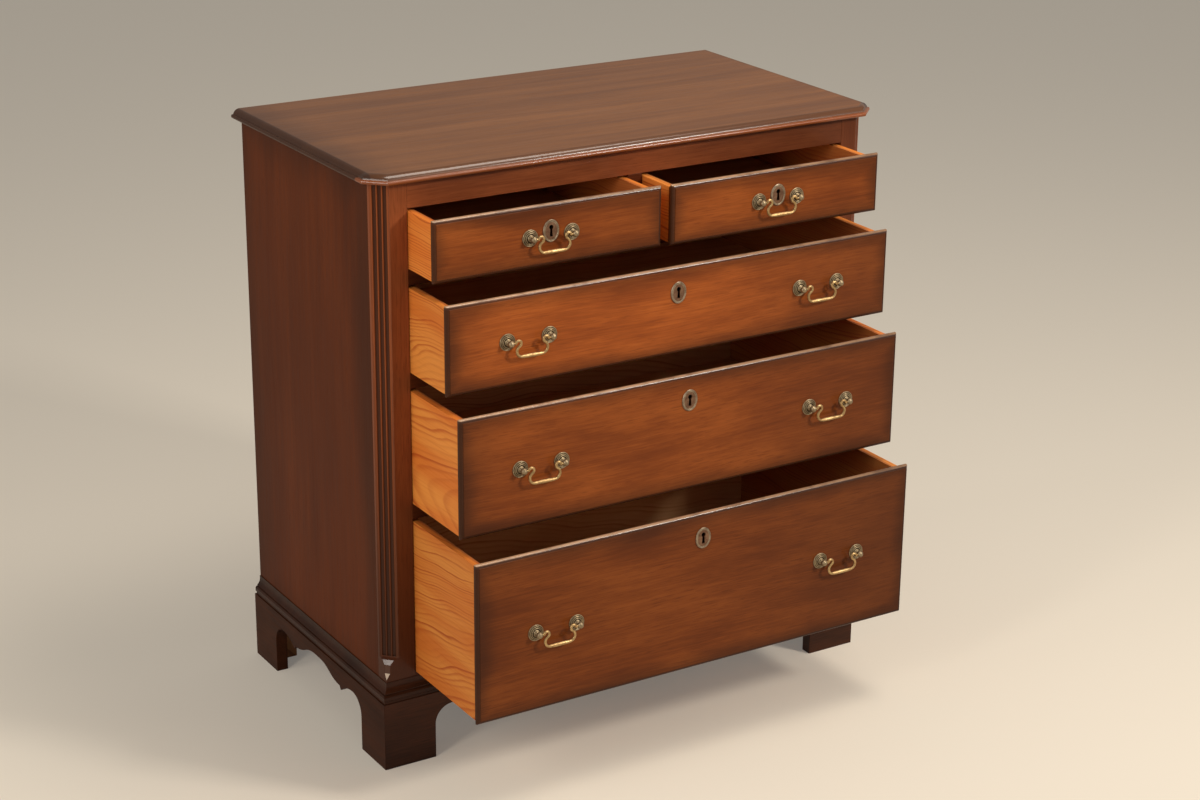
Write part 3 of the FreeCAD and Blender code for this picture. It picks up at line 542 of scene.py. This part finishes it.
def smoother(limit):
    """Nodes that shade a piece smooth, except across edges sharper than a limit in degrees."""
    tree = bpy.data.node_groups.new("smooth_by_angle", "GeometryNodeTree")
    tree.interface.new_socket("Geometry", in_out="INPUT", socket_type="NodeSocketGeometry")
    tree.interface.new_socket("Geometry", in_out="OUTPUT", socket_type="NodeSocketGeometry")
    tree.is_modifier = True
    start, end = add(tree, "NodeGroupInput"), add(tree, "NodeGroupOutput")
    faces = add(tree, "GeometryNodeSetShadeSmooth", {"Geometry": start.outputs[0]}, domain="FACE")
    angle = add(tree, "GeometryNodeInputMeshEdgeAngle").outputs[0]
    sides = {"A": angle, "B": math.radians(limit)}
    sharp = add(tree, "FunctionNodeCompare", sides, operation="GREATER_THAN").outputs[0]
    inputs = {"Geometry": faces.outputs[0], "Selection": sharp, "Shade Smooth": False}
    edges = add(tree, "GeometryNodeSetShadeSmooth", inputs, domain="EDGE")
    tree.links.new(edges.outputs[0], end.inputs[0])
    return tree


SMOOTH = smoother(32)
CRISP = smoother(18)


def soften(piece, width, shading):
    """Round a wooden piece's arrises a little, as sanding and finishing leave them."""
    weld = piece.modifiers.new("weld", "WELD")
    weld.merge_threshold = 0.01 * MM
    flat = piece.modifiers.new("flat_faces", "DECIMATE")
    flat.decimate_type = "DISSOLVE"
    flat.angle_limit = math.radians(0.3)
    bevel = piece.modifiers.new("soft_edges", "BEVEL")
    bevel.width = width
    bevel.segments = 2
    bevel.limit_method = "ANGLE"
    bevel.angle_limit = math.radians(34)
    bevel.use_clamp_overlap = False
    shade = piece.modifiers.new("smooth", "NODES")
    shade.node_group = shading
    normals = piece.modifiers.new("normals", "WEIGHTED_NORMAL")
    normals.keep_sharp = True


# Mesh helpers for the hardware; profiles and paths are in millimetres


def full_turn(sides):
    return [2 * math.pi * side / sides for side in range(sides)]


def arc_points(x, z, radius, first, last, steps):
    turns = [math.radians(first + (last - first) * step / steps) for step in range(steps + 1)]
    return [(x + radius * math.cos(turn), z + radius * math.sin(turn)) for turn in turns]


def ring_of(mesh, points):
    return [mesh.verts.new(point) for point in points]


def oval(mesh, place, half_width, half_height, out, sides):
    """A ring of points that faces -y, at a reach out from a place."""
    points = []
    for angle in full_turn(sides):
        offset = Vector((half_width * math.cos(angle), -out, half_height * math.sin(angle)))
        points.append(place + offset * MM)
    return ring_of(mesh, points)


def skin(mesh, first, second, slot=0):
    """Faces between two rings with as many points."""
    count = len(first)
    for index in range(count):
        follower = (index + 1) % count
        face = mesh.faces.new((first[index], first[follower], second[follower], second[index]))
        face.material_index = slot


def skin_all(mesh, rings, grooves=()):
    """A closed skin over a row of rings."""
    for index, (first, second) in enumerate(zip(rings, rings[1:])):
        skin(mesh, first, second, slot=1 if index in grooves else 0)
    mesh.faces.new(rings[0])
    mesh.faces.new(rings[-1])


def lathe(mesh, place, profile, sides=48, grooves=()):
    """Turn a profile of radius and reach about a place's -y axis; grooves take the second material."""
    rings = [oval(mesh, place, radius, radius, out, sides) for radius, out in profile]
    skin_all(mesh, rings, grooves)


def tube(mesh, place, path, radii, sides=20):
    """Sweep round rings along a path of x and z about a place."""
    rings = []
    for index, ((x, z), radius) in enumerate(zip(path, radii)):
        before, after = path[max(index - 1, 0)], path[min(index + 1, len(path) - 1)]
        heading = Vector((after[0] - before[0], 0, after[1] - before[1])).normalized()
        across = Vector((-heading.z, 0, heading.x))
        points = []
        for angle in full_turn(sides):
            offset = across * (radius * math.cos(angle)) + Vector((0, radius * math.sin(angle), 0))
            points.append(place + (Vector((x, 0, z)) + offset) * MM)
        rings.append(ring_of(mesh, points))
    skin_all(mesh, rings)


def finish_mesh(mesh, name, material, smooth_angle=40):
    bmesh.ops.recalc_face_normals(mesh, faces=mesh.faces)
    data = bpy.data.meshes.new(name)
    mesh.to_mesh(data)
    mesh.free()
    data.materials.append(material)
    data.shade_smooth()
    data.set_sharp_from_angle(angle=math.radians(smooth_angle))
    piece = bpy.data.objects.new(name, data)
    scene.collection.objects.link(piece)
    return piece


# Pulls

ROSETTE_RADIUS = 13.2
POST_REACH = 12.0
HEAD_RADIUS = 5.2
HEAD_HALF_LENGTH = 5.0
FRONT_THICKNESS = 20.0
BEADS = 3
BEAD_RADIUS = 1.0
BEAD_PITCH = 2.3
BEAD_RISE = 0.9
BEAD_STEPS = 8
BALL_STEPS = 14
NUT_SIDES = 6
NUT_PROFILE = [
    (4.3, 0.0), (5.0, 0.5), (5.0, 2.6), (4.3, 3.1),
    (2.2, 3.1), (2.0, 3.3), (2.0, 3.8), (1.6, 4.0),
]

posts_low, posts_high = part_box("top_left_pull_posts")
half_boring = (posts_high.x - posts_low.x) / 2 / MM - ROSETTE_RADIUS


def post_profile():
    """Rosette with beads, collar, neck and ball: radius and reach."""
    profile = [(ROSETTE_RADIUS, 0.0)]
    for bead in range(BEADS):
        radius, out = ROSETTE_RADIUS - BEAD_PITCH * bead, BEAD_RISE * bead
        profile += arc_points(radius - BEAD_RADIUS, out + 0.8, BEAD_RADIUS, 0, 165, BEAD_STEPS)
        profile.append((radius - 2.2, out + 0.6))
    profile += [(5.6, 3.4), (5.0, 4.6)]
    profile += arc_points(4.1, 5.3, 0.7, -40, 130, 6)
    profile += [(3.1, 6.4), (3.0, 7.2)]
    for step in range(BALL_STEPS + 1):
        turn = math.radians(-54 + 140 * step / BALL_STEPS)
        out = POST_REACH + HEAD_HALF_LENGTH * math.sin(turn)
        profile.append((HEAD_RADIUS * math.cos(turn), out))
    return profile


def post_grooves():
    """The steps of the profile beside the rosette's beads, darkened with dirt and painted shade."""
    ends = [(BEAD_STEPS + 2) * (bead + 1) for bead in range(BEADS)]
    return {place + step for place in ends for step in (-2, -1, 0)}


def pull_posts(drawer, pivots, material, groove_material):
    """The turned posts of a drawer, and the nuts on their shanks inside the front."""
    mesh = bmesh.new()
    for pivot in pivots:
        for side in (-half_boring, half_boring):
            face = pivot + Vector((side, POST_REACH, 0)) * MM
            lathe(mesh, face, post_profile(), grooves=post_grooves())
            inside = face + Vector((0, FRONT_THICKNESS, 0)) * MM
            lathe(mesh, inside, [(radius, -out) for radius, out in NUT_PROFILE], NUT_SIDES)
    piece = finish_mesh(mesh, f"{drawer}_turned_posts", material)
    piece.data.materials.append(groove_material)
    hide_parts(f"{drawer}_pull_posts")
    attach(piece, f"{drawer}_drawer")


BAIL_DROP = 22.0
BAIL_GAP = 0.3
WIRE_RADIUS = 2.2
GRIP_RADIUS = 3.0
HUMP_RISE = 3.5
HUMP_RADIUS = 4.5
CORNER_RADIUS = 9.0
NECK_ANGLE = 55
PIN_ANGLE = -15
PIN_RADIUS = 1.5
PIN_DEPTH = 4.0
GRIP_STEPS = 14
END_SHARES = 0.45, 0.8, 0.95

hump_x = half_boring - HEAD_RADIUS - BAIL_GAP - WIRE_RADIUS - HUMP_RADIUS
hump_z = HUMP_RISE - HUMP_RADIUS


def bail_path():
    """Half of the bail's centre line, from the middle of the grip to the end beside the post."""
    bend = math.radians(NECK_ANGLE)
    corner_z = CORNER_RADIUS - BAIL_DROP
    curl = HUMP_RADIUS + CORNER_RADIUS
    straight = (hump_z - corner_z - curl * math.sin(bend)) / math.cos(bend)
    grip = hump_x - curl * math.cos(bend) + straight * math.sin(bend)
    path = [(grip * step / GRIP_STEPS, -BAIL_DROP) for step in range(GRIP_STEPS)]
    path += arc_points(grip, corner_z, CORNER_RADIUS, -90, NECK_ANGLE, 20)
    path += arc_points(hump_x, hump_z, HUMP_RADIUS, NECK_ANGLE + 180, PIN_ANGLE, 28)
    return path


def bail_radius(x, z):
    """The bail is thickest in the middle of its grip."""
    grip = max(0.0, 1 - abs(x) / hump_x) if z <= -BAIL_DROP else 0.0
    return WIRE_RADIUS + (GRIP_RADIUS - WIRE_RADIUS) * min(1.0, 1.25 * grip) ** 0.8


def bail(name, pivot, material):
    """A swan-neck bail with rounded ends, and the pins on which it turns."""
    half = bail_path()
    path = [(-x, z) for x, z in reversed(half[1:])] + half
    radii = [bail_radius(x, z) for x, z in path]
    for place, share in enumerate(END_SHARES):
        radii[place] *= share
        radii[-1 - place] *= share
    mesh = bmesh.new()
    tube(mesh, pivot, path, radii)
    pin_start = hump_x + HUMP_RADIUS
    pin_end = pin_start + WIRE_RADIUS + BAIL_GAP + PIN_DEPTH
    for side in (-1, 1):
        pin = [(side * pin_start, 0.0), (side * pin_end, 0.0)]
        tube(mesh, pivot, pin, [PIN_RADIUS, PIN_RADIUS])
    piece = finish_mesh(mesh, f"{name}_cast", material)
    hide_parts(name)
    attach(piece, name)


# Key plates

KEYHOLE_RISE = 5.6
KEYHOLE_RADIUS = 3.6
KEYHOLE_FLARE = 2.6
KEYHOLE_FOOT = -8.8
KEYHOLE_STEPS = 24
PLATE_SIDES = 96
PLATE_FIELD = 1.4
PLATE_RIM = [
    (0.4, 0.0), (0.0, 0.5), (0.2, 1.2), (0.8, 1.8), (1.5, 1.95),
    (2.2, 1.75), (2.7, 1.2), (3.1, 1.15), (3.9, PLATE_FIELD),
]
PLATE_PIN_INSET = 3.2
PLATE_PIN_START = 1.1
PLATE_PIN_SIDES = 16
PLATE_PIN_PROFILE = [(1.1, 0.0), (1.1, 0.4), (0.9, 0.7), (0.5, 0.85), (0.2, 0.9)]


def loop(mesh, ring):
    return [mesh.edges.get(pair) or mesh.edges.new(pair) for pair in zip(ring, ring[1:] + ring[:1])]


def key_plate(drawer, *materials):
    """An oval plate with a raised rim and a flat field, cut through by the keyhole."""
    low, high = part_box(f"{drawer}_escutcheon")
    middle = Vector(((low.x + high.x) / 2, high.y, (low.z + high.z) / 2))
    half_width, half_height = (high.x - low.x) / 2 / MM, (high.z - low.z) / 2 / MM
    mesh = bmesh.new()
    rings = []
    for inset, out in PLATE_RIM:
        rings.append(oval(mesh, middle, half_width - inset, half_height - inset, out, PLATE_SIDES))
    for first, second in zip(rings, rings[1:]):
        skin(mesh, first, second)
    outline = [(-KEYHOLE_FLARE, KEYHOLE_FOOT), (KEYHOLE_FLARE, KEYHOLE_FOOT)]
    outline += arc_points(0.0, KEYHOLE_RISE, KEYHOLE_RADIUS, -60, 240, KEYHOLE_STEPS)
    holes = []
    for out in (0.0, PLATE_FIELD):
        points = [middle + Vector((x, -out, z)) * MM for x, z in outline]
        holes.append(ring_of(mesh, points))
    # The keyhole's walls take the third material, a dark brass that paints shade
    skin(mesh, *holes, slot=2)
    for outer, hole in ((rings[0], holes[0]), (rings[-1], holes[1])):
        edges = loop(mesh, outer) + loop(mesh, hole)
        filled = bmesh.ops.triangle_fill(mesh, edges=edges, use_beauty=True)
        for face in filled["geom"]:
            if isinstance(face, bmesh.types.BMFace):
                face.material_index = 1
    for side in (-1, 1):
        offset = Vector((0, -PLATE_PIN_START, side * (half_height - PLATE_PIN_INSET)))
        lathe(mesh, middle + offset * MM, PLATE_PIN_PROFILE, PLATE_PIN_SIDES)
    piece = finish_mesh(mesh, f"{drawer}_key_plate", materials[0], smooth_angle=30)
    for material in materials[1:]:
        piece.data.materials.append(material)
    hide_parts(f"{drawer}_escutcheon")
    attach(piece, f"{drawer}_drawer")


# Dress the case

SIDE_TONES = srgb(78, 33, 10), srgb(90, 40, 13), srgb(102, 47, 17)
# The drawer rails and divider take darker tones than the posts: painted shade between the drawers
RAIL_SHADE_TONES = srgb(64, 29, 14), srgb(82, 38, 18), srgb(98, 47, 23)
POST_TONES = srgb(108, 54, 29), srgb(131, 69, 38), srgb(150, 82, 45)
TOP_TONES = srgb(97, 56, 27), srgb(114, 69, 34), srgb(131, 82, 42)
BASE_TONES = srgb(44, 22, 12), srgb(60, 32, 19), srgb(76, 40, 23)
FRONT_TONES = srgb(110, 52, 19), srgb(136, 68, 25), srgb(158, 84, 34)

# How often broad figure, ribbon stripes and mottle change per metre, along the grain and across it
BANDS = (0.8, 22.0), (1.6, 90.0), (2.5, 160.0)
BLOTCHES = (1.6, 9.0), (2.5, 50.0), (5.0, 130.0)
CLOUDS = (4.5, 13.0), (8.0, 60.0), (16.0, 230.0)
STREAKS = (1.2, 22.0), (2.0, 120.0), (6.0, 70.0)

post_low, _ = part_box("corner_post_left")
panel_finish = [shaded_edges(*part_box("side_panel_left"), (1, 2), 80 * MM, 0.5)]
# The posts: painted shade in the flutes and at the foot, painted highlights on the ridges and on the
# tongue's tip
post_shade_and_highlights = [shaded_flutes_and_highlit_ridges(post_low), painted_shade_at_foot(post_low.z, 0.85), painted_tip_highlight(post_low)]
post_polish = on_chamfer(post_low), 0.7
top_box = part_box("top_board")
# The top: specks, painted shade at its left end and on its moulded edge, and a painted highlight along
# the moulding's lower front
top_specks_shade_and_highlight = [specks, painted_shade_at_ends(*top_box, 0.45, 0.0), moulding_shade_and_highlight(*top_box)]
top_polish = on_front_moulding(*top_box), 0.55
# Painted shade towards the top rail's right end
top_rail_shade = [painted_shade_at_ends(*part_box("top_rail"), 0.0, 0.5)]
RAIL_SHIFT = (0.7, 0.3, 0.9)

case_side = mahogany(
    "mahogany_side", "z", (0.3, 0.1, 0.2), SIDE_TONES, BLOTCHES, gloss=0.05, coat=0.0, layers=panel_finish
)
case_top_rail = mahogany(
    "mahogany_top_rail", "x", RAIL_SHIFT, POST_TONES, CLOUDS, gloss=0.12, coat=0.1, layers=top_rail_shade
)
case_rail = mahogany("mahogany_rail", "x", RAIL_SHIFT, RAIL_SHADE_TONES, CLOUDS, gloss=0.08, coat=0.05)
case_base = mahogany("mahogany_base", "x", (1.7, 1.3, 0.4), BASE_TONES, CLOUDS, gloss=0.1, coat=0.1)
case_base_side = mahogany(
    "mahogany_base_side", "y", (2.1, 0.3, 1.4), BASE_TONES, CLOUDS, gloss=0.04, coat=0.0
)
# The base moulding takes a darker copy of the base's tones: painted shade
moulding_shade_tones = with_light(BASE_TONES, 0.75)
case_moulding = mahogany(
    "mahogany_moulding", "x", (1.2, 0.3, 0.4), moulding_shade_tones, CLOUDS, gloss=0.1, coat=0.1
)
case_top = mahogany(
    "mahogany_top",
    "x",
    (0.2, 2.3, 0.4),
    TOP_TONES,
    STREAKS,
    gloss=0.16,
    coat=0.18,
    layers=top_specks_shade_and_highlight,
    polish=top_polish,
)

# The right post takes a darker copy of the post's tones: painted shade
for side, tones in (("left", POST_TONES), ("right", with_light(POST_TONES, 0.6))):
    wood = mahogany(
        f"mahogany_{side}_post",
        "z",
        (0.3, 0.4, 0.6),
        tones,
        BANDS,
        gloss=0.12,
        coat=0.1,
        layers=post_shade_and_highlights,
        polish=post_polish,
    )
    dress(f"corner_post_{side}", wood)
for side in ("left", "right"):
    dress(f"side_panel_{side}", case_side)
    dress(f"base_{side}", case_base_side)
for name in ("bottom_rail", "rail_lower", "rail_middle", "rail_upper", "centre_divider"):
    dress(name, case_rail)
dress("top_rail", case_top_rail)
dress("top_board", case_top)
dress("base_front", case_base)
dress("base_moulding", case_moulding)

PINE_TONES = srgb(226, 143, 64), srgb(212, 118, 46), srgb(168, 68, 22)
BOARD_TONES = srgb(230, 180, 130), srgb(216, 160, 110), srgb(188, 122, 74)
INNER_TONES = srgb(150, 104, 66), srgb(134, 86, 50), srgb(104, 60, 34)
inner = pine("inner_wood", "y", (0.4, 0.2, 0.33), core=0.1, rings=90, tones=INNER_TONES)
inner_cross = pine("inner_wood_cross", "x", (0.1, 0.5, 0.13), core=0.1, rings=90, tones=INNER_TONES)
for name in ("drawer_runners", "drawer_guides", "top_cleats", "foot_blocks"):
    dress(name, inner)
for name in ("bottom_board", "back_panel", "rear_foot_braces"):
    dress(name, inner_cross)

# Dress the drawers

aged = brass("aged_brass", srgb(166, 148, 118), srgb(142, 124, 98), srgb(76, 62, 46), 0.44)
# A dark brass for the grooves of the turned posts: dirt and painted shade
groove_grime_and_shade = brass("groove_grime_and_painted_shade", srgb(74, 62, 48), srgb(58, 47, 36), srgb(34, 27, 20), 0.6)
rubbed_and_highlit = brass("bright_brass", srgb(198, 168, 118), srgb(164, 132, 90), srgb(108, 82, 56), 0.4)
# A dark brass for the walls of the keyholes: painted shade
keyhole_wall_shade = brass("keyhole_wall_painted_shade", srgb(30, 24, 19), srgb(22, 17, 14), srgb(12, 10, 8), 0.7)
rim = brass("plate_rim", srgb(164, 148, 126), srgb(132, 114, 94), srgb(68, 54, 42), 0.42)
field = brass("plate_field", srgb(140, 108, 86), srgb(114, 84, 66), srgb(66, 48, 38), 0.48)
EDGE_SHADE_REACH = 36 * MM

# Each drawer's boards: the share of light painted into the front, partly boards that differ in tone, and
# the painted shade at its left and right ends; then, for the sides, the share of light painted into them,
# how far the tree's heart lies behind the board's face and above its middle, in metres, and the rings per
# metre
DRAWERS = {
    "top_left": (1.05, 0.1, 0.25, 1.05, 0.06, 0.09, 240),
    "top_right": (1.0, 0.1, 0.2, 1.0, 0.05, 0.06, 200),
    "upper": (1.4, 0.4, 0.6, 0.95, 0.04, 0.11, 230),
    "middle": (0.95, 0.4, 0.45, 1.0, 0.05, 0.05, 170),
    "lower": (0.7, 0.15, 0.45, 0.85, 0.03, 0.16, 210),
}

hinges = [joint for joint in frame["joints"] if joint["type"] == "hinge"]
for index, (drawer, look) in enumerate(DRAWERS.items()):
    light, left, right, pine_light, core, heart, rings = look
    low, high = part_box(f"{drawer}_front")
    height = (low.z + high.z) / 2
    # Painted shade at the front's ends, the toned edges, the dark lip with its painted highlight, and
    # painted shade in the keyhole
    finish = [
        painted_shade_at_ends(low, high, left, right),
        shaded_edges(low, high, (0, 2), EDGE_SHADE_REACH, 0.6),
        dark_lip_and_painted_highlight(low, high),
        painted_keyhole_shade(*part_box(f"{drawer}_escutcheon")),
    ]
    front = mahogany(
        f"mahogany_{drawer}",
        "x",
        (0.9 * index + 0.2, 0.5 * index, 0.37 * index + 0.1),
        with_light(FRONT_TONES, light),
        CLOUDS,
        gloss=0.08,
        coat=0.1,
        layers=finish,
        polish=(on_upper_lip(high), 0.5),
    )
    # Painted shade on the inner faces of the drawer sides
    inside_shade = [painted_shade_inside(*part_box(f"{drawer}_sides"))]
    shift = (0.31 * index, high.x, heart - height)
    # Painted light: the pine tones scaled by the drawer's share of light
    tones = with_light(PINE_TONES, pine_light)
    sides = pine(f"pine_{drawer}_sides", "y", shift, core, rings, tones, inside_shade)
    shift = (0.27 * index, 0.1, -height)
    boards = pine(f"pine_{drawer}_boards", "x", shift, core + 0.05, rings, BOARD_TONES)
    dress(f"{drawer}_front", front)
    dress(f"{drawer}_sides", sides)
    dress(f"{drawer}_back", boards)
    dress(f"{drawer}_bottom", boards)
    swings = [joint for joint in hinges if joint["parent"] == f"{drawer}_drawer"]
    pull_posts(drawer, [Vector(joint["pos_m"]) for joint in swings], aged, groove_grime_and_shade)
    for joint in swings:
        bail(joint["child"], Vector(joint["pos_m"]), rubbed_and_highlit)
    key_plate(drawer, rim, field, keyhole_wall_shade)

# Wooden pieces get soft edges; the base moulding keeps the crisp steps that its profile has
SOFT_EDGE = 0.6
for name, piece in nodes.items():
    hardware = name.endswith(("pull_posts", "escutcheon")) or "_bail" in name
    if not hardware and name != "base_moulding":
        soften(piece, SOFT_EDGE * MM, CRISP if name.startswith("corner_post") else SMOOTH)


# Floor, light and camera

WARM = (1.0, 0.95, 0.88)
AMBER = (1.0, 0.92, 0.82)
AIR = (0.95, 0.9, 0.82, 1.0)
AIR_LIGHT = 0.3
AIR_SHOWN = 0.36
FLOOR_SHOWN = 0.16

ground = bmesh.new()
bmesh.ops.create_grid(ground, x_segments=1, y_segments=1, size=20.0)
floor_material, floor_tree, floor_shader = new_material("floor")
floor_shader.inputs["Base Color"].default_value = srgb(204, 194, 178)
floor_shader.inputs["Roughness"].default_value = 0.8
floor_shader.inputs["Specular IOR Level"].default_value = 0.2
floor_shader.inputs["Emission Color"].default_value = AIR
floor_shown = seen_as(floor_tree, 0.0, FLOOR_SHOWN)
floor_tree.links.new(floor_shown, floor_shader.inputs["Emission Strength"])
floor = finish_mesh(ground, "floor", floor_material)


def lamp(name, place, aim, width, height, power, colour=WARM):
    """A rectangular lamp at a place, turned towards its aim."""
    light = bpy.data.lights.new(name, "AREA")
    light.shape = "RECTANGLE"
    light.size, light.size_y = width, height
    light.energy = power
    light.color = colour
    thing = bpy.data.objects.new(name, light)
    thing.location = place
    thing.rotation_euler = (Vector(aim) - Vector(place)).to_track_quat("-Z", "Y").to_euler()
    scene.collection.objects.link(thing)


lamp("key", (1.9, -2.8, 2.6), (0, -0.1, 0.5), width=0.55, height=0.55, power=82)
lamp("overhead", (0.8, -0.7, 3.3), (0.2, -0.3, 0.6), width=1.3, height=1.0, power=46, colour=AMBER)
lamp("strip", (-2.96, -1.29, 1.97), (-0.44, -0.125, 0.5), width=0.6, height=1.9, power=32)
lamp("window", (-3.2, 0.2, 1.9), (-0.4, 0.0, 0.5), width=1.4, height=1.4, power=20)

world = bpy.data.worlds.new("studio")
scene.world = world
world.use_nodes = True
background = world.node_tree.nodes["Background"]
background.inputs["Color"].default_value = AIR
air_shown = seen_as(world.node_tree, AIR_LIGHT, AIR_SHOWN)
world.node_tree.links.new(air_shown, background.inputs["Strength"])

camera = bpy.data.objects.new("camera", bpy.data.cameras.new("camera"))
camera.data.lens = 74.688
camera.data.sensor_width = 36.0
right = Vector((0.85218, -0.52318, 0.00874))
up = Vector((0.17344, 0.2982, 0.93856))
forward = Vector((0.49367, 0.79834, -0.34489))
turned = Matrix((right, up, -forward)).transposed().to_4x4()
camera.matrix_world = Matrix.Translation((-1.9978, -3.26002, 1.89801)) @ turned
scene.collection.objects.link(camera)
scene.camera = camera
scene.view_settings.view_transform = "Standard"
